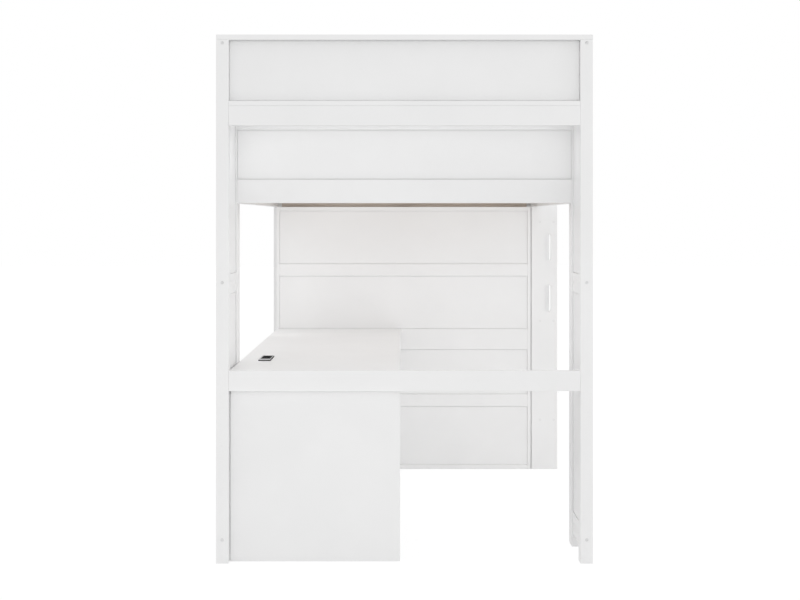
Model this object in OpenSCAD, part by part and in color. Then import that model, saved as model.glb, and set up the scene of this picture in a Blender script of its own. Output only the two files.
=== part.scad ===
// A cabin bed: a high sleeping platform over a long desk, with a shelf unit at the head,
// a cabinet under the foot end and a ladder on the right side.
// All lengths are in millimetres. The view from the head end has +X to the right, +Y runs from
// head to foot and +Z is up. The origin is on the floor under the middle of the whole outline.

/* [Bed] */
// Width over the posts
bed_w = 1448; // [1420:1:1480]
// Length of the mattress bay, between the head and foot posts
bay_l = 1930; // [1910:1:1960]
// Height of the underside of the bed frame
deck_z = 1388; // [1360:1:1400]
// Height of the side rails and end rails
rail_h = 95; // [90:1:110]
// Thickness of the rails, guard frames and ladder sides
rail_t = 24; // [22:1:26]
// Height of the guard rails and foot board above the side rails
guard_h = 274; // [240:1:274]

/* [Posts] */
// Width of a post, across the bed
post_w = 48; // [44:1:54]
// Depth of a post, along the bed
post_d = 60; // [54:1:66]
// Rounding of the long edges of every board
ease = 2; // [1:0.5:3]

/* [Head shelf unit] */
// Height over the cap board
total_h = 2032; // [2020:1:2080]
// Depth of the shelf unit, in front of the bed's head posts
tower_d = 297; // [280:1:330]
// Depth of its rear stiles
stile_d = 30; // [26:1:34]
// Thickness of the cap board
cap_t = 20; // [18:1:24]
// Height of the top face of the shelf
shelf_z = 1777; // [1772:1:1790]
// Thickness of shelves
shelf_t = 18; // [16:1:20]
// Height of the apron under the shelf
apron_h = 76; // [70:1:84]
// Thickness of the cross rails between the posts
cross_t = 25; // [22:1:28]
// Thickness of the inset panels
panel_t = 12; // [10:1:14]
// How far a panel's tongue is let into its frame
groove = 8; // [6:1:10]
// Gap between a panel's raised field and its frame
shadow_gap = 2; // [1:0.5:3]

/* [Desk] */
// Height of the desk
desk_z = 740; // [720:1:760]
// Depth of the desk top, across the bed
desk_w = 656; // [620:1:680]
// Thickness of the desk top
desk_t = 22; // [20:1:25]
// Thickness of the panel and rails that carry it
desk_board = 18; // [16:1:20]

/* [Foot cabinet] */
// Height of the cabinet
cabinet_h = 1385; // [1350:1:1385]
// Depth of the cabinet, along the bed
cabinet_d = 400; // [380:1:410]
// Thickness of the cabinet sides and back rails
cabinet_t = 15; // [15:1:18]

/* [Ladder] */
// How far the ladder stands out beside the bed
ladder_out = 84; // [70:1:100]
// Clear width of the ladder between its sides
ladder_w = 364; // [350:1:380]
// Height of the lowest tread's middle
tread_z = 260; // [240:1:280]
// Step from tread to tread
tread_pitch = 261.5; // [250:0.5:265]
// Thickness of a tread
tread_t = 22; // [20:1:25]
// Width of a hand hold
hold_w = 34; // [32:1:44]
// Length of a hand hold
hold_l = 146; // [120:1:170]

/* [Hidden] */
$fn = 48;

paint = [0.94, 0.94, 0.93];
natural_wood = [0.83, 0.72, 0.58];
zinc = [0.75, 0.76, 0.78];
black_plastic = [0.06, 0.06, 0.06];
aluminium = [0.72, 0.73, 0.74];

// Across the bed: the posts' outer and inner faces, their middle and the rails' inner face
half_w = bed_w / 2;
in_x = half_w - post_w;
post_x = half_w - post_w / 2;
rail_x = half_w - rail_t;
rail_mid_x = half_w - rail_t / 2;
sides = [-1, 1];

// Along the bed from the head face: stiles, head posts, bay, foot posts and the end
stile_y = tower_d - stile_d;
head_y = tower_d;
bay_y = head_y + post_d;
foot_y = bay_y + bay_l;
total_l = foot_y + post_d;

// Heights
rail_top = deck_z + rail_h;
guard_top = rail_top + guard_h;
guard_rail_h = 73;
tower_top = total_h - cap_t;
apron_top = shelf_z - shelf_t;

// Shelf unit: side rails by height, set in from the posts' faces, with thinner panels between
side_rail_set = 3;
side_panel_set = 6;
top_rail_h = 78;
side_rail_z = [[55, 143], [1030, 1108], [tower_top - top_rail_h, tower_top]];
head_panel_set = 27;
head_panel_lift = 3;
headboard_panel_set = 10;
cross_rail_h = 78;

// Foot cabinet: it stands between the foot posts, clear of the ladder and of the foot face
cabinet_gap = 1;
cabinet_ladder_gap = 10;
cabinet_foot_gap = 12;
cabinet_y = total_l - cabinet_foot_gap - cabinet_d;
cabinet_x = [-in_x + cabinet_gap, in_x - cabinet_ladder_gap];
cabinet_mid = (cabinet_x[0] + cabinet_x[1]) / 2;
cabinet_bottom_t = 24;
cabinet_top_t = 21;
cabinet_panel_t = 9;
cabinet_panel_set = 5;
cabinet_rail_z = [[331, 396], [632, desk_z + 1], [1020, 1084]];

// Desk: close to the left inner face of the posts
desk_x = [-in_x + cabinet_gap, -in_x + cabinet_gap + desk_w];
desk_y = [cross_t, cabinet_y];
desk_panel_y = 34;
desk_panel_x = [desk_x[0] + 2, desk_x[1] + 2];
desk_rail_h = 78;
desk_overhang = 20;

// Power unit in the desk top, by its flange
power_x = [-601, -551];
power_y = [361, 534];
power_r = 5;
power_lip = 5;
power_depth = 50;
power_wall = 2;
power_flange_t = 3.6;
power_face_t = 24;
trim_t = 1.1;
trim_in = 1.5;
trim_w = 3.5;
trim_plate_l = 39;
gland_d = 16;
gland_l = 12;
gland_y = 30;

// Ladder on the right side: its boards, treads and hand holds
ladder_in = 2;
ladder_near_y = foot_y + post_d - rail_t - ladder_w - rail_t;
ladder_far_y = foot_y + post_d - rail_t;
ladder_top_r = 30;
tread_count = 5;
tread_x = [rail_x, half_w + ladder_out - 2];
tread_groove_x = [20, 34];
tread_groove_w = 3;
tread_groove_t = 1.5;
hold_x = half_w + 34;
hold_z = [903, 1172];

// Slatted base: the end ledgers are the deepest and carry the beam in notches
end_ledger_h = 40;
ledger_h = 18;
beam_w = 40;
beam_h = 18;
slat_z = deck_z + end_ledger_h;
slat_t = 16;
slat_w = 70;
slat_gap = 2;
slat_count = 14;

// Connector bolts with flat heads, and the barrel nuts that they screw into
bolt_d = 6;
bolt_clear = 7;
bolt_grip = 42;
head_d = 12;
head_t = 2.5;
head_bore_d = 12.8;
head_sink = 0.6;
hex_across = 4.6;
hex_depth = 1.8;
nut_d = 10;
nut_l = 14;
nut_in = 34;

// Each joint: where the bolt's head sits, the way the bolt points, how much it passes through
// before the piece that it draws up, the way the nut's bore opens, and how far that face is
to_foot = [0, 1, 0];
to_head = [0, -1, 0];
down = [0, 0, -1];
function inward(s) = [-s, 0, 0];
tower_reach = (post_w - 2 * side_rail_set) / 2;
front_bolt_z = [91, 1079, tower_top - 12];
rear_bolt_z = [99, 1069];
front_joints = [for (s = sides, z = front_bolt_z)
  [[s * post_x, 0, z], to_foot, post_d, inward(s), tower_reach]];
rear_joints = [for (s = sides, z = rear_bolt_z)
  [[s * post_x, bay_y, z], to_head, post_d + stile_d, inward(s), tower_reach]];
top_joints = [for (s = sides)
  [[s * post_x, tower_d, tower_top - top_rail_h / 2], to_head, stile_d, inward(s), tower_reach]];
cross_joints = [for (s = sides, z = [desk_z - cross_rail_h / 2, apron_top - apron_h / 2])
  [[s * half_w, cross_t / 2, z], inward(s), post_w, to_foot, cross_t / 2]];
headboard_joints = [for (s = sides, z = [deck_z + rail_h / 2, apron_top - apron_h / 2])
  [[s * half_w, stile_y + cross_t / 2, z], inward(s), post_w, to_foot, cross_t / 2]];
end_bolt_z = [deck_z + 26, deck_z + 58];
end_guard_bolt_z = guard_top - 28;
head_end_joints = [for (s = sides, z = end_bolt_z)
  [[s * half_w, bay_y - cross_t / 2, z], inward(s), post_w, to_head, cross_t / 2]];
foot_end_joints = [for (s = sides, z = concat(end_bolt_z, [end_guard_bolt_z]))
  [[s * half_w, foot_y + cross_t / 2, z], inward(s), post_w, to_foot, cross_t / 2]];
side_bolt_z = [deck_z + 14, deck_z + 78];
side_guard_bolt_z = guard_top - 48;
side_head_joints = [for (s = sides, z = concat(side_bolt_z, [side_guard_bolt_z]))
  [[s * rail_mid_x, head_y, z], to_foot, post_d, inward(s), rail_t / 2]];
side_foot_joints = [for (s = sides, z = s < 0 ? concat(side_bolt_z, [side_guard_bolt_z]) : side_bolt_z)
  [[s * rail_mid_x, total_l, z], to_head, post_d, inward(s), rail_t / 2]];
bolted_treads = [for (i = [0, 2, 4]) tread_z + i * tread_pitch];
tread_bolt_in = 17;
tread_bolt_x = [tread_x[0] + tread_bolt_in, tread_x[1] - tread_bolt_in];
tread_near_joints = [for (x = tread_bolt_x, z = bolted_treads)
  [[x, ladder_near_y, z], to_foot, rail_t, down, tread_t / 2]];
tread_far_joints = [for (x = tread_bolt_x, z = bolted_treads)
  [[x, total_l, z], to_head, x < half_w ? post_d : rail_t, down, tread_t / 2]];
ladder_bolt_z = [deck_z + 12, deck_z + 68, rail_top + 60, guard_top - 36];
ladder_joints = [for (z = ladder_bolt_z)
  [[rail_x, ladder_near_y + rail_t / 2, z], [1, 0, 0], rail_t, to_foot, rail_t / 2]];
all_joints = concat(front_joints, rear_joints, top_joints, cross_joints, headboard_joints,
  head_end_joints, foot_end_joints, side_head_joints, side_foot_joints,
  tread_near_joints, tread_far_joints, ladder_joints);

// Moves the bed, drawn from its head face and middle line, onto the origin
module seated() translate([-ladder_out / 2, -total_l / 2, 0]) children();

module on_left() mirror([1, 0, 0]) children();

module box(lo, hi) translate(lo) cube(hi - lo);

module eased_rect(size, r = ease) {
  translate([r, 0]) square([size.x - 2 * r, size.y]);
  translate([0, r]) square([size.x, size.y - 2 * r]);
  for (x = [r, size.x - r], y = [r, size.y - r]) translate([x, y]) circle(r);
}

// A board from corner to corner, its four long edges eased
module board(lo, hi, along) {
  size = hi - lo;
  if (along == "x")
    translate(lo) rotate([90, 0, 90]) linear_extrude(size.x) eased_rect([size.y, size.z]);
  else if (along == "y")
    translate([lo.x, hi.y, lo.z]) rotate([90, 0, 0]) linear_extrude(size.y) eased_rect([size.x, size.z]);
  else
    translate(lo) linear_extrude(size.z) eased_rect([size.x, size.y]);
}

// A board across the bed whose ends are eased too, so that its joints show as a fine line
module eased_rail(lo, hi) intersection() {
  board(lo, hi, "x");
  board(lo, hi, "z");
}

// Points local +Z along a row direction
module facing(dir) rotate([-90 * dir.y + 90 * (dir.z - 1) * dir.z, 90 * dir.x, 0]) children();

module bolt(joint) translate(joint[0]) facing(joint[1]) {
  difference() {
    translate([0, 0, head_sink]) cylinder(h = head_t, d = head_d);
    cylinder(h = head_sink + hex_depth, d = hex_across, $fn = 6);
  }
  translate([0, 0, head_sink + head_t]) cylinder(h = joint[2] + bolt_grip - head_sink - head_t, d = bolt_d);
}

module nut_place(joint) translate(joint[0] + joint[1] * (joint[2] + nut_in)) facing(joint[3]) children();

module barrel_nut(joint) difference() {
  nut_place(joint) translate([0, 0, -nut_l / 2]) cylinder(h = nut_l, d = nut_d);
  translate(joint[0]) facing(joint[1]) cylinder(h = joint[2] + bolt_grip + 1, d = bolt_d);
}

// The holes that a list of joints needs
module bores(joints) for (joint = joints) {
  translate(joint[0]) facing(joint[1]) {
    translate([0, 0, -1]) cylinder(h = 1 + head_sink + head_t, d = head_bore_d);
    cylinder(h = joint[2] + bolt_grip + 3, d = bolt_clear);
  }
  nut_place(joint) translate([0, 0, -nut_l / 2]) cylinder(h = nut_l / 2 + joint[4] + 1, d = nut_d);
}

// ---- Inset panels, by whose tongues their frames are also grooved ----

// A panel in the opening of its frame: a raised field, and round it a tongue of half its thickness
module inset_panel(lo, hi, across, field = true) {
  flat = [1, 1, 1] - across;
  rebate = across * ((hi - lo) * across) / 4;
  box(lo - groove * flat + rebate, hi + groove * flat - rebate);
  if (field) box(lo + shadow_gap * flat, hi - shadow_gap * flat);
}

module side_panel_pair(field = true) for (i = [0, 1])
  inset_panel([in_x + side_panel_set, post_d, side_rail_z[i][1]],
              [in_x + side_panel_set + panel_t, stile_y, side_rail_z[i + 1][0]], [1, 0, 0], field);

module head_panel_board(field = true)
  inset_panel([-in_x, head_panel_set, shelf_z + head_panel_lift],
              [in_x, head_panel_set + panel_t, tower_top], [0, 1, 0], field);

module headboard_panel_board(field = true)
  inset_panel([-in_x, stile_y + headboard_panel_set, rail_top],
              [in_x, stile_y + headboard_panel_set + panel_t, apron_top - apron_h], [0, 1, 0], field);

module foot_panel_board(field = true)
  inset_panel([-in_x, foot_y + (cross_t - panel_t) / 2, rail_top],
              [in_x, foot_y + (cross_t + panel_t) / 2, guard_top - guard_rail_h], [0, 1, 0], field);

// Guard panels stand between the stiles at these places along the bed
guard_left_y = [bay_y, bay_y + bay_l / 2 - post_w / 2, bay_y + bay_l / 2 + post_w / 2, foot_y];
guard_end_y = ladder_near_y + rail_t;
guard_right_mid = (bay_y + guard_end_y - post_w) / 2;
guard_right_y = [bay_y, guard_right_mid - post_w / 2, guard_right_mid + post_w / 2, guard_end_y - post_w];

module guard_panel_pair(y, field = true) for (i = [0, 2])
  inset_panel([rail_mid_x - panel_t / 2, y[i], rail_top],
              [rail_mid_x + panel_t / 2, y[i + 1], guard_top - guard_rail_h], [1, 0, 0], field);

cabinet_panel_z = [
  [cabinet_bottom_t, cabinet_rail_z[0][0]], [cabinet_rail_z[0][1], cabinet_rail_z[1][0]],
  [cabinet_rail_z[1][1], cabinet_rail_z[2][0]], [cabinet_rail_z[2][1], cabinet_h - cabinet_top_t],
];

module cabinet_panel_boards(field = true) for (z = cabinet_panel_z)
  inset_panel([cabinet_x[0] + cabinet_t, cabinet_y + cabinet_panel_set, z[0]],
              [cabinet_x[1] - cabinet_t, cabinet_y + cabinet_panel_set + cabinet_panel_t, z[1]],
              [0, 1, 0], field);

// ---- Head shelf unit ----

module head_post() difference() {
  board([in_x, 0, 0], [half_w, post_d, tower_top], "z");
  side_panel_pair(field = false);
  head_panel_board(field = false);
  bores(front_joints);
  bores(cross_joints);
}

module head_post_left() color(paint) seated() on_left() head_post();

module head_post_right() color(paint) seated() head_post();

module head_stile() difference() {
  board([in_x, stile_y, 0], [half_w, tower_d, tower_top], "z");
  side_panel_pair(field = false);
  headboard_panel_board(field = false);
  bores(rear_joints);
  bores(top_joints);
  bores(headboard_joints);
}

module head_stile_left() color(paint) seated() on_left() head_stile();

module head_stile_right() color(paint) seated() head_stile();

module head_side_rails() difference() {
  for (z = side_rail_z)
    board([in_x + side_rail_set, post_d, z[0]], [half_w - side_rail_set, stile_y, z[1]], "y");
  side_panel_pair(field = false);
  bores(front_joints);
  bores(rear_joints);
  bores(top_joints);
}

module head_side_rails_left() color(paint) seated() on_left() head_side_rails();

module head_side_rails_right() color(paint) seated() head_side_rails();

module head_side_panels_left() color(paint) seated() on_left() side_panel_pair();

module head_side_panels_right() color(paint) seated() side_panel_pair();

module head_cap() color(paint) seated() difference() {
  board([-half_w, 0, tower_top], [half_w, tower_d, total_h], "x");
  head_panel_board(field = false);
}

module head_panel() color(paint) seated() head_panel_board();

// The shelf reaches out between the posts and stiles to the side panels
module head_shelf() color(paint) seated() difference() {
  union() {
    eased_rail([-in_x, 0, apron_top], [in_x, tower_d, shelf_z]);
    box([-in_x - side_panel_set, post_d, apron_top], [in_x + side_panel_set, stile_y, shelf_z]);
  }
  head_panel_board(field = false);
}

module head_apron() color(paint) seated() difference() {
  eased_rail([-in_x, 0, apron_top - apron_h], [in_x, cross_t, apron_top]);
  bores(cross_joints);
}

module head_cross_rail() color(paint) seated() difference() {
  eased_rail([-in_x, 0, desk_z - cross_rail_h], [in_x, cross_t, desk_z]);
  bores(cross_joints);
}

module headboard_bottom_rail() color(paint) seated() difference() {
  eased_rail([-in_x, stile_y, deck_z], [in_x, stile_y + cross_t, rail_top]);
  headboard_panel_board(field = false);
  bores(headboard_joints);
}

module headboard_top_rail() color(paint) seated() difference() {
  eased_rail([-in_x, stile_y, apron_top - apron_h], [in_x, stile_y + cross_t, apron_top]);
  headboard_panel_board(field = false);
  bores(headboard_joints);
}

module headboard_panel() color(paint) seated() headboard_panel_board();

// ---- Bed frame ----

module bed_head_post() difference() {
  board([in_x, head_y, 0], [half_w, bay_y, guard_top], "z");
  guard_panel_pair(guard_left_y, field = false);
  bores(rear_joints);
  bores(head_end_joints);
  bores(side_head_joints);
}

module bed_head_post_left() color(paint) seated() on_left() bed_head_post();

module bed_head_post_right() color(paint) seated() bed_head_post();

module bed_foot_post_left() color(paint) seated() difference() {
  board([-half_w, foot_y, 0], [-in_x, total_l, guard_top], "z");
  on_left() guard_panel_pair(guard_left_y, field = false);
  foot_panel_board(field = false);
  bores(foot_end_joints);
  bores(side_foot_joints);
}

module bed_foot_post_right() color(paint) seated() difference() {
  board([in_x, foot_y, 0], [half_w, total_l, guard_top], "z");
  foot_panel_board(field = false);
  bores(foot_end_joints);
  bores(side_foot_joints);
  bores(tread_far_joints);
}

module side_rail_left() color(paint) seated() difference() {
  board([-half_w, bay_y, deck_z], [-rail_x, foot_y, rail_top], "y");
  on_left() guard_panel_pair(guard_left_y, field = false);
  bores(side_head_joints);
  bores(side_foot_joints);
}

module side_rail_right() color(paint) seated() difference() {
  board([rail_x, bay_y, deck_z], [half_w, foot_y, rail_top], "y");
  guard_panel_pair(guard_right_y, field = false);
  bores(side_head_joints);
  bores(side_foot_joints);
  bores(ladder_joints);
}

module head_end_rail() color(paint) seated() difference() {
  board([-in_x, bay_y - cross_t, deck_z], [in_x, bay_y, rail_top], "x");
  bores(head_end_joints);
}

module foot_end_rail() color(paint) seated() difference() {
  board([-in_x, foot_y, deck_z], [in_x, foot_y + cross_t, rail_top], "x");
  foot_panel_board(field = false);
  bores(foot_end_joints);
}

module foot_top_rail() color(paint) seated() difference() {
  board([-in_x, foot_y, guard_top - guard_rail_h], [in_x, foot_y + cross_t, guard_top], "x");
  foot_panel_board(field = false);
  bores(foot_end_joints);
}

module foot_panel() color(paint) seated() foot_panel_board();

module guard_rail_left() color(paint) seated() difference() {
  board([-half_w, bay_y, guard_top - guard_rail_h], [-rail_x, foot_y, guard_top], "y");
  on_left() guard_panel_pair(guard_left_y, field = false);
  bores(side_head_joints);
  bores(side_foot_joints);
}

module guard_rail_right() color(paint) seated() difference() {
  board([rail_x, bay_y, guard_top - guard_rail_h], [half_w, guard_end_y, guard_top], "y");
  guard_panel_pair(guard_right_y, field = false);
  bores(side_head_joints);
  bores(ladder_joints);
}

module guard_stile(y)
  board([rail_x, y, rail_top], [half_w, y + post_w, guard_top - guard_rail_h], "z");

module guard_stile_left() color(paint) seated() on_left() difference() {
  guard_stile(guard_left_y[1]);
  guard_panel_pair(guard_left_y, field = false);
}

module guard_stiles_right() color(paint) seated() difference() {
  for (y = [guard_right_y[1], guard_right_y[3]]) guard_stile(y);
  guard_panel_pair(guard_right_y, field = false);
  bores(ladder_joints);
}

module guard_panels_left() color(paint) seated() on_left() guard_panel_pair(guard_left_y);

module guard_panels_right() color(paint) seated() guard_panel_pair(guard_right_y);

module side_ledgers() color(natural_wood) seated() for (x = [-rail_x, in_x])
  board([x, bay_y, slat_z - ledger_h], [x + rail_x - in_x, foot_y, slat_z], "y");

module end_ledgers() color(natural_wood) seated() difference() {
  for (y = [bay_y, foot_y - rail_t])
    board([-in_x, y, deck_z], [in_x, y + rail_t, slat_z], "x");
  box([-beam_w / 2, bay_y, slat_z - beam_h], [beam_w / 2, foot_y, slat_z + 1]);
}

module centre_beam() color(natural_wood) seated()
  board([-beam_w / 2, bay_y, slat_z - beam_h], [beam_w / 2, foot_y, slat_z], "y");

module slats() color(natural_wood) seated() for (i = [0 : slat_count - 1]) {
  y = bay_y + slat_gap + i * (bay_l - slat_w - 2 * slat_gap) / (slat_count - 1);
  board([-rail_x + slat_gap, y, slat_z], [rail_x - slat_gap, y + slat_w, slat_z + slat_t], "x");
}

// ---- Desk ----

module desk_top() color(paint) seated() difference() {
  board([desk_x[0], desk_y[0], desk_z - desk_t], [desk_x[1], desk_y[1], desk_z], "y");
  box([power_x[0] + power_lip, power_y[0] + power_lip, desk_z - desk_t - 1],
      [power_x[1] - power_lip, power_y[1] - power_lip, desk_z + 1]);
}

module desk_end_panel() color(paint) seated()
  board([desk_panel_x[0], desk_panel_y, 0],
        [desk_panel_x[1], desk_panel_y + desk_board, desk_z - desk_t], "z");

module desk_rail(x) board([x, desk_panel_y + desk_board, desk_z - desk_t - desk_rail_h],
                          [x + desk_board, desk_y[1], desk_z - desk_t], "y");

module desk_back_rail() color(paint) seated() desk_rail(desk_panel_x[0]);

module desk_front_rail() color(paint) seated() desk_rail(desk_x[1] - desk_overhang - desk_board);

module desk_cleat() color(paint) seated()
  board([desk_panel_x[0] + desk_board, desk_y[1] - desk_t, desk_z - 2 * desk_t],
        [desk_x[1] - desk_overhang - desk_board, desk_y[1], desk_z - desk_t], "x");

// The tub hangs in the desk top by its flange, with the cable's gland under its floor
module power_housing() color(black_plastic) seated() {
  lip = [power_lip, power_lip, 0];
  lo = [power_x[0], power_y[0], desk_z];
  hi = [power_x[1], power_y[1], desk_z + power_flange_t];
  tub_lo = lo + lip - [0, 0, power_depth];
  tub_hi = hi - lip;
  wall = [power_wall, power_wall, 0];
  difference() {
    union() {
      translate(lo) linear_extrude(power_flange_t) eased_rect([hi.x - lo.x, hi.y - lo.y], power_r);
      box(tub_lo, tub_hi);
    }
    box(tub_lo + wall + [0, 0, power_wall], tub_hi - wall + [0, 0, 1]);
  }
  translate([(tub_lo.x + tub_hi.x) / 2, tub_lo.y + gland_y, tub_lo.z - gland_l]) cylinder(h = gland_l, d = gland_d);
}

// A brushed frame on the flange, closed by a plate at its near end and open over the sockets
module power_trim() color(aluminium) seated() difference() {
  size = [power_x[1] - power_x[0], power_y[1] - power_y[0]];
  z = desk_z + power_flange_t;
  translate([power_x[0] + trim_in, power_y[0] + trim_in, z]) linear_extrude(trim_t)
    eased_rect([size.x - 2 * trim_in, size.y - 2 * trim_in], power_r - trim_in);
  translate([power_x[0] + trim_in + trim_w, power_y[0] + trim_plate_l, z - 1]) linear_extrude(trim_t + 2)
    eased_rect([size.x - 2 * (trim_in + trim_w), size.y - trim_plate_l - trim_in - trim_w]);
}

// The socket block fills the tub's mouth, level with its flange
module power_face() color(black_plastic) seated() {
  inset = power_lip + power_wall;
  z = desk_z + power_flange_t;
  board([power_x[0] + inset, power_y[0] + inset, z - power_face_t],
        [power_x[1] - inset, power_y[1] - inset, z], "z");
}

// ---- Foot cabinet ----

module cabinet_side(x) difference() {
  board([x, cabinet_y, 0], [x + cabinet_t, cabinet_y + cabinet_d, cabinet_h], "z");
  cabinet_panel_boards(field = false);
}

module cabinet_side_left() color(paint) seated() cabinet_side(cabinet_x[0]);

module cabinet_side_right() color(paint) seated() cabinet_side(cabinet_x[1] - cabinet_t);

module cabinet_board(x, z) board([x[0], cabinet_y, z[0]], [x[1], cabinet_y + cabinet_d, z[1]], "x");

cabinet_in_x = [cabinet_x[0] + cabinet_t, cabinet_x[1] - cabinet_t];

module cabinet_top() color(paint) seated() difference() {
  cabinet_board(cabinet_in_x, [cabinet_h - cabinet_top_t, cabinet_h]);
  cabinet_panel_boards(field = false);
}

module cabinet_bottom() color(paint) seated() difference() {
  cabinet_board(cabinet_in_x, [0, cabinet_bottom_t]);
  cabinet_panel_boards(field = false);
}

module cabinet_back_rails() color(paint) seated() difference() {
  for (z = cabinet_rail_z)
    board([cabinet_in_x[0], cabinet_y, z[0]], [cabinet_in_x[1], cabinet_y + cabinet_t, z[1]], "x");
  cabinet_panel_boards(field = false);
}

module cabinet_back_panels() color(paint) seated() cabinet_panel_boards();

module cabinet_divider() color(paint) seated()
  board([cabinet_mid - cabinet_t / 2, cabinet_y + cabinet_t, cabinet_bottom_t],
        [cabinet_mid + cabinet_t / 2, cabinet_y + cabinet_d, cabinet_h - cabinet_top_t], "z");

module cabinet_shelf_row(x) for (z = cabinet_rail_z)
  board([x[0], cabinet_y + cabinet_t, z[1] - shelf_t], [x[1], cabinet_y + cabinet_d, z[1]], "x");

module cabinet_shelves_left() color(paint) seated()
  cabinet_shelf_row([cabinet_in_x[0], cabinet_mid - cabinet_t / 2]);

module cabinet_shelves_right() color(paint) seated()
  cabinet_shelf_row([cabinet_mid + cabinet_t / 2, cabinet_in_x[1]]);

// ---- Ladder ----

module hand_hold(z) translate([hold_x, z]) {
  square([hold_w, hold_l - hold_w], center = true);
  for (end = sides) translate([0, end * (hold_l - hold_w) / 2]) circle(hold_w / 2);
}

// The outer part of a ladder side, seen from the head end: round at the top, with two hand holds
module ladder_side_outline() difference() {
  union() {
    translate([half_w, 0]) square([ladder_out, guard_top - ladder_top_r]);
    translate([half_w + ladder_top_r, 0]) square([ladder_out - 2 * ladder_top_r, guard_top]);
    for (x = [half_w + ladder_top_r, half_w + ladder_out - ladder_top_r])
      translate([x, guard_top - ladder_top_r]) circle(ladder_top_r);
  }
  for (z = hold_z) hand_hold(z);
}

module upright(y) translate([0, y + rail_t, 0]) rotate([90, 0, 0]) linear_extrude(rail_t) children();

// The near side is also as wide as the post below the bed's side rail, which rests on that step
module ladder_side_near() color(paint) seated() difference() {
  upright(ladder_near_y) {
    ladder_side_outline();
    translate([in_x - ladder_in, 0]) square([half_w - in_x + ladder_in, deck_z]);
  }
  bores(tread_near_joints);
  bores(ladder_joints);
}

module ladder_side_far() color(paint) seated() difference() {
  upright(ladder_far_y) ladder_side_outline();
  bores(tread_far_joints);
}

// The treads are notched round the foot post and have two anti-slip grooves
module ladder_treads() color(paint) seated() difference() {
  for (i = [0 : tread_count - 1]) {
    z = tread_z + i * tread_pitch;
    difference() {
      board([tread_x[0], ladder_near_y + rail_t, z - tread_t / 2],
            [tread_x[1], ladder_far_y, z + tread_t / 2], "y");
      for (inset = tread_groove_x)
        box([tread_x[1] - inset - tread_groove_w, ladder_near_y, z + tread_t / 2 - tread_groove_t],
            [tread_x[1] - inset, total_l, z + tread_t]);
    }
  }
  box([in_x, foot_y, 0], [half_w, total_l, deck_z]);
  bores(tread_near_joints);
  bores(tread_far_joints);
}

// ---- Fasteners ----

module connector_bolts() color(zinc) seated() for (joint = all_joints) bolt(joint);

module barrel_nuts() color(zinc) seated() for (joint = all_joints) barrel_nut(joint);

head_post_left();
head_post_right();
head_stile_left();
head_stile_right();
head_side_rails_left();
head_side_rails_right();
head_side_panels_left();
head_side_panels_right();
head_cap();
head_panel();
head_shelf();
head_apron();
head_cross_rail();
headboard_bottom_rail();
headboard_top_rail();
headboard_panel();
bed_head_post_left();
bed_head_post_right();
bed_foot_post_left();
bed_foot_post_right();
side_rail_left();
side_rail_right();
head_end_rail();
foot_end_rail();
foot_top_rail();
foot_panel();
guard_rail_left();
guard_rail_right();
guard_stile_left();
guard_stiles_right();
guard_panels_left();
guard_panels_right();
side_ledgers();
end_ledgers();
centre_beam();
slats();
desk_top();
desk_end_panel();
desk_back_rail();
desk_front_rail();
desk_cleat();
power_housing();
power_trim();
power_face();
cabinet_side_left();
cabinet_side_right();
cabinet_top();
cabinet_bottom();
cabinet_divider();
cabinet_back_rails();
cabinet_back_panels();
cabinet_shelves_left();
cabinet_shelves_right();
ladder_side_near();
ladder_side_far();
ladder_treads();
connector_bolts();
barrel_nuts();
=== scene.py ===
"""Looks of the white cabin bed: materials, small fittings, studio and camera.

Lengths are in metres in the row frame: +X to the ladder side, +Y from head to foot, +Z up.
"""

import math

import bmesh
import bpy
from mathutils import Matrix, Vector


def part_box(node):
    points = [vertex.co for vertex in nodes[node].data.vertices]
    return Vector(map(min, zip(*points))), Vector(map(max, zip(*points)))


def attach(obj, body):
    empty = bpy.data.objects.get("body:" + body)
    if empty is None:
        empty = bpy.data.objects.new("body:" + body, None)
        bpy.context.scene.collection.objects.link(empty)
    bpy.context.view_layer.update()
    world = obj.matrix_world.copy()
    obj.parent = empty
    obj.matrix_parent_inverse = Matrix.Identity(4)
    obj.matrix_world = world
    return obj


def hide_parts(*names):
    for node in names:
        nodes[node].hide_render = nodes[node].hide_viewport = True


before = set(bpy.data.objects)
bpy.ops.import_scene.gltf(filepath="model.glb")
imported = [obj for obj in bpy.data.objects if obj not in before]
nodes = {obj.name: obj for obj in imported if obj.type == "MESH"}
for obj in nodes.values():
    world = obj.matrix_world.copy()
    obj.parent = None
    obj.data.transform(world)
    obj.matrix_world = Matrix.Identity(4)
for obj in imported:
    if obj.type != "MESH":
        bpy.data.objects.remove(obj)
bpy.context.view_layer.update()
SCENE = bpy.context.scene
MM = 0.001


# ---- Camera ----

PHOTO_W, PHOTO_H = 800, 600          # pixels
LOOK_PX = Vector((403.7, 217.6))     # where the photo's lines along the bed meet
SENSOR = 36.0                        # millimetres, as the lens is
LENS = 60.31
FAR = 200                            # how far the camera sees
CAMERA_AT = Vector((-0.045, -6.3195, 1.3287))
LEVEL = (math.radians(90), 0, 0)     # a camera's turn that makes it look along +Y


def add_camera():
    """A level camera that looks along the bed, shifted for the photo's framing."""
    data = bpy.data.cameras.new("photo_camera")
    data.sensor_width = SENSOR
    data.lens = LENS
    data.shift_x = (PHOTO_W / 2 - LOOK_PX.x) / PHOTO_W
    data.shift_y = (LOOK_PX.y - PHOTO_H / 2) / PHOTO_W
    data.clip_end = FAR
    camera = bpy.data.objects.new("photo_camera", data)
    camera.location = CAMERA_AT
    camera.rotation_euler = LEVEL
    SCENE.collection.objects.link(camera)
    SCENE.camera = camera


# ---- Node helpers ----

NOISE_LOW, NOISE_HIGH = 0.3, 0.7     # where nearly all values of a noise texture lie


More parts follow.
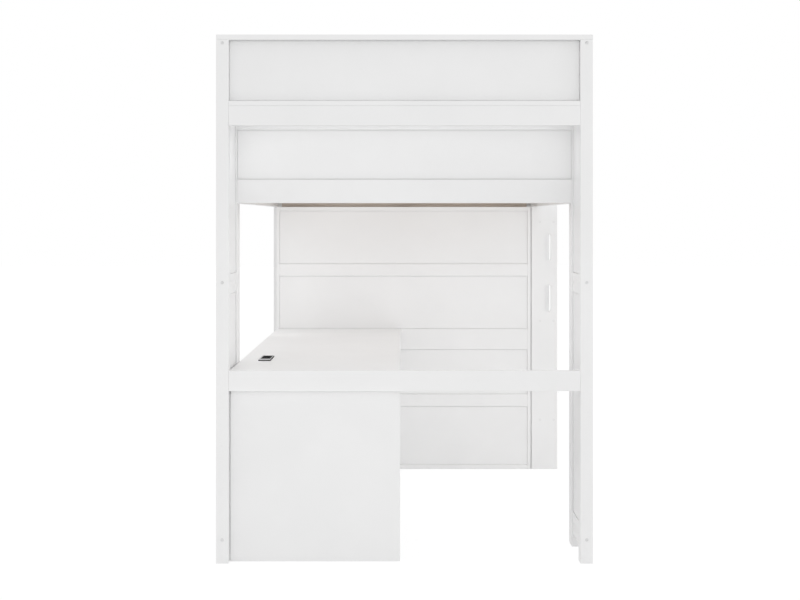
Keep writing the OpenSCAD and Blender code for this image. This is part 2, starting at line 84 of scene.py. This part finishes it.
class Graph:
    """A material's node tree, with short calls for the nodes that the finishes share."""

    def __init__(self, name):
        self.material = bpy.data.materials.new(name)
        self.material.use_nodes = True
        self.tree = self.material.node_tree
        self.shader = self.tree.nodes["Principled BSDF"]

    def node(self, kind, **values):
        """A new node of a kind, with some of its settings."""
        made = self.tree.nodes.new(kind)
        for key, value in values.items():
            setattr(made, key, value)
        return made

    def link(self, source, target):
        self.tree.links.new(source, target)

    def feed(self, source, name):
        """Drives the shader's input of that name."""
        self.link(source, self.shader.inputs[name])

    def coords(self, scale=(1, 1, 1)):
        """Object coordinates in metres, stretched by scale."""
        place = self.node("ShaderNodeTexCoord")
        mapping = self.node("ShaderNodeMapping")
        mapping.inputs["Scale"].default_value = scale
        self.link(place.outputs["Object"], mapping.inputs["Vector"])
        return mapping.outputs["Vector"]

    def noise(self, coords, scale, detail=2.0, roughness=0.5, distortion=0.0):
        """The values of a noise texture at some coordinates."""
        made = self.node("ShaderNodeTexNoise")
        made.inputs["Scale"].default_value = scale
        made.inputs["Detail"].default_value = detail
        made.inputs["Roughness"].default_value = roughness
        made.inputs["Distortion"].default_value = distortion
        self.link(coords, made.inputs["Vector"])
        return made.outputs["Fac"]

    def span(self, value, low, high, start=0.0, end=1.0):
        """A value mapped from start..end to low..high."""
        made = self.node("ShaderNodeMapRange")
        for key, number in (("From Min", start), ("From Max", end), ("To Min", low), ("To Max", high)):
            made.inputs[key].default_value = number
        self.link(value, made.inputs["Value"])
        return made.outputs["Result"]

    def ramp(self, value, *stops):
        """A colour that runs through stops, each a place and its colour."""
        made = self.node("ShaderNodeValToRGB")
        elements = made.color_ramp.elements
        while len(elements) < len(stops):
            elements.new(position=0.5)
        for element, (place, colour) in zip(elements, stops):
            element.position = place
            element.color = (*colour, 1)
        self.link(value, made.inputs["Fac"])
        return made.outputs["Color"]

    def shade(self, noise, low, high):
        """Feeds the shader's colour, from low to high as the noise rises."""
        self.feed(self.ramp(noise, (NOISE_LOW, low), (NOISE_HIGH, high)), "Base Color")

    def rough(self, noise, low, high):
        """Feeds the shader's roughness, from low to high as the noise rises."""
        self.feed(self.span(noise, low, high, NOISE_LOW, NOISE_HIGH), "Roughness")

    def bump(self, height, depth, below=None):
        """Relief of a height value, depth metres from low to high, on top of another relief."""
        made = self.node("ShaderNodeBump")
        made.inputs["Distance"].default_value = depth
        self.link(height, made.inputs["Height"])
        if below:
            self.link(below, made.inputs["Normal"])
        return made.outputs["Normal"]


def along(axis, length, across):
    """Texture scale that stretches a pattern along one axis."""
    return tuple(length if name == axis else across for name in "xyz")


# ---- Finishes ----

PAINT_LOW = (0.860, 0.860, 0.860)
PAINT_HIGH = (0.883, 0.883, 0.883)
CAP_LOW = (0.817, 0.817, 0.817)
CAP_HIGH = (0.833, 0.833, 0.833)


def paint(name, grain_axis, low=PAINT_LOW, high=PAINT_HIGH):
    """Satin white paint: a fine roller texture, with a trace of the board's grain under it."""
    g = Graph(name)
    plain = g.coords()
    g.shade(g.noise(plain, scale=3.5, detail=3), low, high)
    board = g.coords(along(grain_axis, length=1.2, across=42))
    grain = g.noise(board, scale=3.0, detail=4, roughness=0.6, distortion=0.4)
    roller = g.noise(plain, scale=620, detail=2)
    g.rough(roller, low=0.36, high=0.50)
    relief = g.bump(grain, depth=0.10 * MM)
    g.feed(g.bump(roller, depth=0.03 * MM, below=relief), "Normal")
    return g.material


WOOD_DARK = (0.50, 0.42, 0.357)
WOOD_MID = (0.645, 0.565, 0.498)
WOOD_PALE = (0.72, 0.648, 0.588)
WOOD_STOPS = ((0.22, WOOD_DARK), (0.46, WOOD_MID), (0.72, WOOD_PALE))
DRIFT = 0.35                         # how much the slow drift counts beside the growth lines


def wood(name, grain_axis):
    """Planed natural wood: growth lines, pores and soft colour drift along the board."""
    g = Graph(name)
    drift = g.noise(g.coords(along(grain_axis, length=0.5, across=3)), scale=2.0, detail=2)
    board = g.coords(along(grain_axis, length=0.7, across=30))
    lines = g.noise(board, scale=3.2, detail=6, roughness=0.62, distortion=1.1)
    pores = g.noise(g.coords(along(grain_axis, length=18, across=620)), scale=1.0, detail=2)
    mixed = g.node("ShaderNodeMath", operation="MULTIPLY_ADD")
    g.link(drift, mixed.inputs[0])
    mixed.inputs[1].default_value = DRIFT
    g.link(g.span(lines, -DRIFT / 2, 1 - DRIFT / 2), mixed.inputs[2])
    g.feed(g.ramp(mixed.outputs[0], *WOOD_STOPS), "Base Color")
    g.rough(pores, low=0.55, high=0.72)
    relief = g.bump(lines, depth=0.20 * MM)
    g.feed(g.bump(pores, depth=0.08 * MM, below=relief), "Normal")
    return g.material


ZINC_STOPS = ((0.35, (0.70, 0.70, 0.70)), (0.65, (0.79, 0.79, 0.795)))


def zinc(name):
    """Zinc plate: cloudy brightness and fine tumbling marks."""
    g = Graph(name)
    g.shader.inputs["Metallic"].default_value = 1
    cloud = g.noise(g.coords(), scale=160, detail=3)
    g.feed(g.ramp(cloud, *ZINC_STOPS), "Base Color")
    marks = g.noise(g.coords(), scale=1900, detail=2)
    g.rough(marks, low=0.40, high=0.56)
    g.feed(g.bump(marks, depth=0.02 * MM), "Normal")
    return g.material


BLACK_LOW = (0.008, 0.008, 0.009)
BLACK_HIGH = (0.016, 0.016, 0.017)
BLACK_SHINE = 0.03


def black_plastic(name):
    """Moulded black plastic with an even spark-eroded grain."""
    g = Graph(name)
    grain = g.noise(g.coords(), scale=2600, detail=2, roughness=0.6)
    g.shade(grain, BLACK_LOW, BLACK_HIGH)
    g.shader.inputs["Specular IOR Level"].default_value = BLACK_SHINE
    g.rough(grain, low=0.50, high=0.68)
    g.feed(g.bump(grain, depth=0.04 * MM), "Normal")
    return g.material


BRUSHED_LOW = (0.40, 0.405, 0.41)
BRUSHED_HIGH = (0.52, 0.525, 0.53)


def brushed_aluminium(name):
    """Aluminium brushed along the length of the power unit."""
    g = Graph(name)
    g.shader.inputs["Metallic"].default_value = 1
    lengthwise = g.coords(along("y", length=12, across=2400))
    brush = g.noise(lengthwise, scale=1.0, detail=3, roughness=0.7)
    g.shade(brush, BRUSHED_LOW, BRUSHED_HIGH)
    g.rough(brush, low=0.24, high=0.40)
    g.feed(g.bump(brush, depth=0.03 * MM), "Normal")
    return g.material


# Paint and wood have one material for each way that the boards run.
FINISHES = {
    "white_paint": {axis: paint("paint_" + axis, axis) for axis in "xyz"},
    "natural_wood": {axis: wood("wood_" + axis, axis) for axis in "xy"},
    "cap_paint": paint("paint_cap", "z", CAP_LOW, CAP_HIGH),
    "zinc": zinc("zinc_plate"),
    "black_plastic": black_plastic("grained_black"),
    "brushed_aluminium": brushed_aluminium("brushed_metal"),
}

# The nodes whose boards don't run up
ALONG_X = {
    "head_cap", "head_panel", "head_shelf", "head_apron", "head_cross_rail", "headboard_bottom_rail",
    "headboard_top_rail", "headboard_panel", "head_end_rail", "foot_end_rail", "foot_top_rail",
    "foot_panel", "end_ledgers", "slats", "desk_cleat", "cabinet_top", "cabinet_bottom",
    "cabinet_back_rails", "cabinet_back_panels", "cabinet_shelves_left", "cabinet_shelves_right",
}
ALONG_Y = {
    "head_side_rails_left", "head_side_rails_right", "side_rail_left", "side_rail_right",
    "guard_rail_left", "guard_rail_right", "guard_panels_left", "guard_panels_right", "side_ledgers",
    "centre_beam", "desk_top", "desk_back_rail", "desk_front_rail", "ladder_treads",
}


def board_axis(name):
    """The way that a node's boards run."""
    if name in ALONG_X:
        return "x"
    return "y" if name in ALONG_Y else "z"


def finish_nodes():
    """Gives every CAD node the procedural finish of its slot."""
    for name, obj in nodes.items():
        for slot in obj.material_slots:
            finish = FINISHES[slot.material.name]
            slot.material = finish[board_axis(name)] if isinstance(finish, dict) else finish


# ---- Mesh helpers ----

HARD_EDGE = math.radians(35)         # the least turn between two faces that a bevel takes in
BEVEL_STEPS = 2


def rounded_outline(width, length, radius, steps):
    """Points round a rectangle centred on the origin. Each corner is an arc in that many steps."""
    points = []
    for quarter, (sx, sy) in enumerate(((1, 1), (-1, 1), (-1, -1), (1, -1))):
        middle = Vector((sx * (width / 2 - radius), sy * (length / 2 - radius)))
        for step in range(steps + 1):
            angle = math.radians(90) * (quarter + step / steps)
            points.append(middle + radius * Vector((math.cos(angle), math.sin(angle))))
    return points


def circle(radius, steps):
    """Points round a circle centred on the origin, with that many steps in each quarter."""
    return rounded_outline(2 * radius, 2 * radius, radius, steps)


def cross_outline(length, width):
    """Points round an upright cross, centred on the origin."""
    far, near = length / 2, width / 2
    return [Vector(p) for p in (
        (far, -near), (far, near), (near, near), (near, far), (-near, far), (-near, near),
        (-far, near), (-far, -near), (-near, -near), (-near, -far), (near, -far), (near, -near))]


def ring(bm, outline, at, z):
    """Vertices on an outline round a point, at height z."""
    return [bm.verts.new((at.x + p.x, at.y + p.y, z)) for p in outline]


def solid(bm, rings):
    """A closed solid through rings of equal length, from its bottom ring to its top ring."""
    count = len(rings[0])
    for lower, upper in zip(rings, rings[1:]):
        for i in range(count):
            j = (i + 1) % count
            bm.faces.new((lower[i], lower[j], upper[j], upper[i]))
    bm.faces.new(rings[0])
    bm.faces.new(rings[-1])


def prism(bm, outline, centre, low, high):
    """A closed prism over an outline, from height low to high."""
    solid(bm, [ring(bm, outline, centre, z) for z in (low, high)])


def mesh_of(name, bm):
    """A mesh from closed solids, with every face turned outwards."""
    bmesh.ops.recalc_face_normals(bm, faces=bm.faces)
    mesh = bpy.data.meshes.new(name)
    bm.to_mesh(mesh)
    bm.free()
    return mesh


def piece(name, bm, material):
    """A new piece that rides on the bed."""
    mesh = mesh_of(name, bm)
    mesh.materials.append(material)
    obj = bpy.data.objects.new(name, mesh)
    SCENE.collection.objects.link(obj)
    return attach(obj, "root")


def cut(obj, name, bm):
    """Cuts solids out of a piece for good."""
    cutter = bpy.data.objects.new("cutter", mesh_of(name, bm))
    SCENE.collection.objects.link(cutter)
    modifier = obj.modifiers.new("cut", "BOOLEAN")
    modifier.object = cutter
    modifier.solver = "EXACT"
    bpy.context.view_layer.update()
    evaluated = obj.evaluated_get(bpy.context.evaluated_depsgraph_get())
    result = bpy.data.meshes.new_from_object(evaluated)
    obj.modifiers.clear()
    obj.data = result
    bpy.data.objects.remove(cutter)


def soften(obj, width):
    """A small bevel on every hard edge."""
    bevel = obj.modifiers.new("soft_edges", "BEVEL")
    bevel.width = width
    bevel.segments = BEVEL_STEPS
    bevel.limit_method = "ANGLE"
    bevel.angle_limit = HARD_EDGE


# ---- Power unit ----

TRIM_PLATE = 37.5 * MM               # the closed part of the trim, at its near end
PLACES = (0.16, 0.50, 0.83)          # ports and two sockets, as shares of the open part's length
BLOCK_ROUND = 1 * MM
BLOCK_BEVEL = 0.35 * MM
CUT_OVER = 1 * MM                    # how far a cut stands above the block

DISH_R = 15 * MM
DISH_DEPTH = 1.6 * MM
CONTACT_DEPTH = 12 * MM
BLADE_WIDTH = 2 * MM
BLADE_LEFT, BLADE_RIGHT = 8.2 * MM, 6.6 * MM
BLADE_ROUND = 0.3 * MM
BLADE_X, BLADE_Y = 6.3 * MM, 1.5 * MM
PIN_R = 2.4 * MM
PIN_Y = -8.5 * MM

PORT_STEP = 9 * MM                   # from the pair's middle to each port
PORT_SIZE = (13 * MM, 5.2 * MM)
PORT_ROUND = 0.4 * MM
PORT_DEPTH = 11 * MM
TONGUE_SIZE = (10.6 * MM, 1.6 * MM)
TONGUE_ROUND = 0.3 * MM
TONGUE_BEVEL = 0.15 * MM
TONGUE_SHIFT = Vector((0, -0.8 * MM))
TONGUE_LOW, TONGUE_TOP = 10.5 * MM, 1.2 * MM     # both below the block's top


def contact_holes(bm, at, top):
    """The slots of two blades and the round hole of an earth pin."""
    low, high = top - CONTACT_DEPTH, top + CUT_OVER
    for side, length in ((-1, BLADE_LEFT), (1, BLADE_RIGHT)):
        blade = rounded_outline(BLADE_WIDTH, length, BLADE_ROUND, steps=2)
        prism(bm, blade, at + Vector((side * BLADE_X, BLADE_Y)), low, high)
    prism(bm, circle(PIN_R, steps=6), at + Vector((0, PIN_Y)), low, high)


def cut_sockets(block, sockets, ports, top):
    """Cuts the sockets' shallow round dishes, their contact holes and the charging ports."""
    dishes, contacts, slots = bmesh.new(), bmesh.new(), bmesh.new()
    for at in sockets:
        prism(dishes, circle(DISH_R, steps=12), at, top - DISH_DEPTH, top + CUT_OVER)
        contact_holes(contacts, at, top)
    port = rounded_outline(*PORT_SIZE, PORT_ROUND, steps=2)
    for at in ports:
        prism(slots, port, at, top - PORT_DEPTH, top + CUT_OVER)
    cut(block, "dishes", dishes)
    cut(block, "contacts", contacts)
    cut(block, "ports", slots)


def add_port_tongues(ports, top):
    """The tongue inside each charging port."""
    bm = bmesh.new()
    outline = rounded_outline(*TONGUE_SIZE, TONGUE_ROUND, steps=2)
    for at in ports:
        prism(bm, outline, at + TONGUE_SHIFT, top - TONGUE_LOW, top - TONGUE_TOP)
    tongues = piece("power_port_tongues", bm, FINISHES["black_plastic"])
    soften(tongues, TONGUE_BEVEL)


def add_power_face():
    """The socket block: two round sockets and two charging ports, in place of the plain block."""
    low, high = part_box("power_face")
    centre = (low + high) / 2
    size = high - low
    bm = bmesh.new()
    prism(bm, rounded_outline(size.x, size.y, BLOCK_ROUND, steps=3), centre, low.z, high.z)
    block = piece("power_socket_block", bm, FINISHES["black_plastic"])

    open_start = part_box("power_trim")[0].y + TRIM_PLATE
    room = high.y - open_start
    places = [Vector((centre.x, open_start + room * share)) for share in PLACES]
    ports = [places[0] + Vector((0, side * PORT_STEP)) for side in (-1, 1)]
    cut_sockets(block, places[1:], ports, high.z)
    soften(block, BLOCK_BEVEL)
    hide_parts("power_face")
    add_port_tongues(ports, high.z)


# ---- Boxes of a node's solids ----

WELD = 1e-6                          # corners of a solid that lie this close are one
SORT_DIGITS = 5                      # decimals of a metre that count in the boxes' order


def take_island(left):
    """Takes one vertex and all that edges join to it out of a set, and gives their places."""
    stack = [left.pop()]
    found = []
    while stack:
        vert = stack.pop()
        found.append(vert.co.copy())
        for edge in vert.link_edges:
            other = edge.other_vert(vert)
            if other in left:
                left.remove(other)
                stack.append(other)
    return found


def box_round(points):
    """The low and the high corner of the box round some points."""
    return tuple(Vector(pick(p[i] for p in points) for i in range(3)) for pick in (min, max))


def islands(obj):
    """The boxes of a node's separate solids, as pairs of corners, sorted by place."""
    bm = bmesh.new()
    bm.from_mesh(obj.data)
    bmesh.ops.remove_doubles(bm, verts=bm.verts, dist=WELD)
    left = set(bm.verts)
    boxes = []
    while left:
        boxes.append(box_round(take_island(left)))
    bm.free()
    return sorted(boxes, key=lambda pair: [round(v, SORT_DIGITS) for v in (*pair[0], *pair[1])])


# ---- Slat screws ----

SCREW_R = 4 * MM
CROWN_SHARE = 0.78                   # radius of a head's flat top, beside the head's own
SCREW_SINK = 2 * MM
SCREW_EDGE = 0.1 * MM                # height of a head's upright edge above the face
SCREW_RISE = 0.4 * MM
RECESS_SIZE = (4.4 * MM, 1.1 * MM)
RECESS_REACH = 1 * MM                # how far the cut goes below and above the face
SCREW_STEP = 18 * MM                 # from a slat's middle line to each screw at its ends


def screw_heads(name, places):
    """Low heads with a sloping edge and a cross recess, let into level faces."""
    heads, recesses = bmesh.new(), bmesh.new()
    rim = circle(SCREW_R, steps=5)
    crown = [p * CROWN_SHARE for p in rim]
    for at in places:
        solid(heads, [
            ring(heads, rim, at, at.z - SCREW_SINK),
            ring(heads, rim, at, at.z + SCREW_EDGE),
            ring(heads, crown, at, at.z + SCREW_RISE),
        ])
        prism(recesses, cross_outline(*RECESS_SIZE), at, at.z - RECESS_REACH, at.z + RECESS_REACH)
    obj = piece(name, heads, FINISHES["zinc"])
    cut(obj, name + "_recess", recesses)


def add_slat_screws():
    """Two screws at each end of a slat, into the side ledgers, and one into the middle beam."""
    ledger_lines = [(low.x + high.x) / 2 for low, high in islands(nodes["side_ledgers"])]
    beam_low, beam_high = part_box("centre_beam")
    beam_line = (beam_low.x + beam_high.x) / 2
    places = []
    for low, high in islands(nodes["slats"]):
        middle = (low.y + high.y) / 2
        for x in ledger_lines:
            places += [Vector((x, middle + side * SCREW_STEP, high.z)) for side in (-1, 1)]
        places.append(Vector((beam_line, middle, high.z)))
    screw_heads("slat_screws", places)


# ---- Cover caps over the cabinet's connecting screws and the treads' bolts ----

CAP_R = 6.5 * MM
CAP_RISE = 0.8 * MM
CAP_SINK = 0.5 * MM
CAP_INSET = 60 * MM                  # from the side's edges to its caps
HEAD_DEPTH = 2 * MM                  # a bolt that starts nearer to the face has its head there

# Height above the face and share of the radius, level by level
CAP_LEVELS = ((-CAP_SINK, 1.0), (CAP_RISE / 2, 1.0), (CAP_RISE, 0.86))


def cover_cap(bm, at, out):
    """A low round cap at a point of a face whose outward direction is out."""
    turn = out.to_track_quat("Z", "Y")
    outline = circle(CAP_R, steps=6)
    solid(bm, [
        [bm.verts.new(at + turn @ Vector((p.x * share, p.y * share, height))) for p in outline]
        for height, share in CAP_LEVELS
    ])


def add_cabinet_caps():
    """Caps on the outer face of each cabinet side, at every board that ends there."""
    bm = bmesh.new()
    boards = [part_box("cabinet_top"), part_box("cabinet_bottom")] + islands(nodes["cabinet_shelves_left"])
    for name, sign in (("cabinet_side_left", -1), ("cabinet_side_right", 1)):
        low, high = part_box(name)
        face = low.x if sign < 0 else high.x
        for board_low, board_high in boards:
            z = (board_low.z + board_high.z) / 2
            for y in (low.y + CAP_INSET, high.y - CAP_INSET):
                cover_cap(bm, Vector((face, y, z)), Vector((sign, 0, 0)))
    piece("cabinet_cover_caps", bm, FINISHES["cap_paint"])


def add_tread_caps():
    """Caps over the bolts that run along the bed into the treads, on the near ladder side."""
    bm = bmesh.new()
    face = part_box("ladder_side_near")[0].y
    for low, high in islands(nodes["connector_bolts"]):
        if abs(low.y - face) < HEAD_DEPTH:
            middle = (low + high) / 2
            cover_cap(bm, Vector((middle.x, face, middle.z)), Vector((0, -1, 0)))
    piece("tread_bolt_caps", bm, FINISHES["cap_paint"])


# ---- Strip beside the ladder ----

STRIP_SET = 10 * MM                  # how far it lies behind the ladder side's near face
STRIP_DEPTH = 30 * MM
STRIP_ROUND = 1 * MM
STRIP_BEVEL = 0.5 * MM


def add_ladder_strip():
    """A strip that fills the gap between the cabinet and the ladder's near side."""
    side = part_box("cabinet_side_right")[1]
    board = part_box("ladder_side_near")[0]
    size = Vector((board.x - side.x, STRIP_DEPTH))
    centre = Vector((side.x + size.x / 2, board.y + STRIP_SET + STRIP_DEPTH / 2))
    bm = bmesh.new()
    prism(bm, rounded_outline(*size, STRIP_ROUND, steps=2), centre, 0, side.z)
    strip = piece("ladder_strip", bm, FINISHES["white_paint"]["z"])
    soften(strip, STRIP_BEVEL)


# ---- Studio ----

WHITE = (1, 1, 1, 1)
WORLD_LIGHT = 0.955                  # what the surroundings give the bed, where 1 is white
FLOOR_SIZE = 60.0
FLOOR_TONE = (0.88, 0.88, 0.88)
FLOOR_ROUGHNESS = 0.9
GLOW_SHARE = 0.9                     # how much of the floor that the camera sees is plain white
GLOW = 1.04                          # above white, so that the mix is white away from the bed


def seen_directly(tree):
    """1 for rays from the camera, a mirror or glass, and 0 for the rays that light the bed."""
    path = tree.nodes.new("ShaderNodeLightPath")
    total = path.outputs["Is Camera Ray"]
    for name in ("Is Glossy Ray", "Is Transmission Ray"):
        pick = tree.nodes.new("ShaderNodeMath")
        pick.operation = "MAXIMUM"
        tree.links.new(total, pick.inputs[0])
        tree.links.new(path.outputs[name], pick.inputs[1])
        total = pick.outputs[0]
    return total


def add_world():
    """Even white surroundings that light the bed a little less than they show."""
    world = bpy.data.worlds.new("white_studio")
    world.use_nodes = True
    tree = world.node_tree
    background = tree.nodes["Background"]
    background.inputs["Color"].default_value = WHITE
    level = tree.nodes.new("ShaderNodeMapRange")
    level.inputs["To Min"].default_value = WORLD_LIGHT
    level.inputs["To Max"].default_value = 1
    tree.links.new(seen_directly(tree), level.inputs["Value"])
    tree.links.new(level.outputs["Result"], background.inputs["Strength"])
    SCENE.world = world


def floor_material():
    """A pale matt surface, mixed with a white glow where it is seen directly."""
    g = Graph("studio_floor")
    g.shader.inputs["Base Color"].default_value = (*FLOOR_TONE, 1)
    g.shader.inputs["Roughness"].default_value = FLOOR_ROUGHNESS
    g.shader.inputs["Specular IOR Level"].default_value = 0
    glow = g.node("ShaderNodeEmission")
    glow.inputs["Strength"].default_value = GLOW
    both = g.node("ShaderNodeMixShader")
    g.link(g.span(seen_directly(g.tree), 0, GLOW_SHARE), both.inputs["Fac"])
    g.link(g.shader.outputs["BSDF"], both.inputs[1])
    g.link(glow.outputs["Emission"], both.inputs[2])
    g.link(both.outputs["Shader"], g.tree.nodes["Material Output"].inputs["Surface"])
    return g.material


def add_floor():
    """A floor that the camera, mirrors and glass see as white, with a trace of the shadow."""
    bm = bmesh.new()
    bmesh.ops.create_grid(bm, x_segments=1, y_segments=1, size=FLOOR_SIZE / 2)
    floor = bpy.data.objects.new("studio_floor", mesh_of("studio_floor", bm))
    SCENE.collection.objects.link(floor)
    floor.data.materials.append(floor_material())


# ---- Lamps ----

BED_X = -0.042                       # the bed's middle line

# Name: place, the point that the lamp faces, width and height in metres, and power in watts.
# right_soft and low_front stand in the room. The small ones lift the shade under the bed, in the
# head unit and beside the ladder. slats_up faces a point 1 mm aside, which fixes its turn.
LAMPS = {
    "right_soft": ((6.5, -2.0, 2.4), (0, 0, 1), (4.0, 4.0), 42),
    "under_bed": ((BED_X, -0.10, 1.33), (BED_X, -0.10, 0), (1.2, 1.2), 1.06),
    "under_head": ((BED_X, -1.00, 1.34), (BED_X, -1.00, 0), (1.2, 0.3), 0.15),
    "slats_up": ((BED_X, -0.15, 0.745), (BED_X, -0.149, 2.0), (1.1, 1.1), 1.27),
    "desk_bay": ((BED_X, -1.20, 1.06), (BED_X, 1.0, 1.06), (1.25, 0.55), 0.215),
    "low_bay": ((0.32, -0.30, 0.33), (0.32, 1.0, 0.33), (0.5, 0.5), 0.71),
    "head_panel": ((BED_X, -1.105, 1.655), (BED_X, 0, 1.60), (1.24, 0.05), 0.245),
    "head_left": ((-0.655, -1.10, 1.585), (-0.69, 0, 1.60), (0.09, 0.14), 0.041),
    "head_right": ((0.571, -1.10, 1.585), (0.606, 0, 1.60), (0.09, 0.14), 0.034),
    "cabinet_gap": ((BED_X, 0.79, 1.405), (BED_X, 1.2, 1.405), (1.2, 0.024), 0.28),
    "cabinet_top": ((BED_X, 0.62, 1.345), (BED_X, 1.0, 1.385), (1.25, 0.03), 0.065),
    "low_front": ((-0.35, -2.60, 0.25), (-0.35, -1.14, 0.60), (1.0, 0.4), 0.86),
    "desk_left": ((-0.64, 0.30, 1.03), (-0.64, 1.0, 1.03), (0.12, 0.5), 0.16),
    "low_left": ((-0.03, 0.51, 0.33), (-0.03, 1.0, 0.33), (0.06, 0.55), 0.052),
    "under_rail": ((-0.383, -1.180, 0.648), (-0.383, -1.140, 0.655), (0.64, 0.012), 0.0125),
    "ladder_bay": ((0.724, 0.80, 0.70), (0.724, 2.0, 0.70), (0.08, 1.3), 0.25),
}
COOL_LAMPS = ("under_bed", "slats_up")     # against the warm light that the slats throw back
COOL = (0.905, 0.938, 1.0)


def add_lamps():
    """Rectangular lamps that the camera doesn't see."""
    for name, (place, target, size, power) in LAMPS.items():
        data = bpy.data.lights.new(name, "AREA")
        data.shape = "RECTANGLE"
        data.size, data.size_y = size
        data.energy = power
        if name in COOL_LAMPS:
            data.color = COOL
        lamp = bpy.data.objects.new(name, data)
        lamp.location = place
        facing = Vector(target) - Vector(place)
        lamp.rotation_euler = facing.to_track_quat("-Z", "Y").to_euler()
        lamp.visible_camera = False
        SCENE.collection.objects.link(lamp)


SCENE.view_settings.view_transform = "Standard"
add_camera()
finish_nodes()
add_power_face()
add_slat_screws()
add_cabinet_caps()
add_tread_caps()
add_ladder_strip()
add_world()
add_floor()
add_lamps()
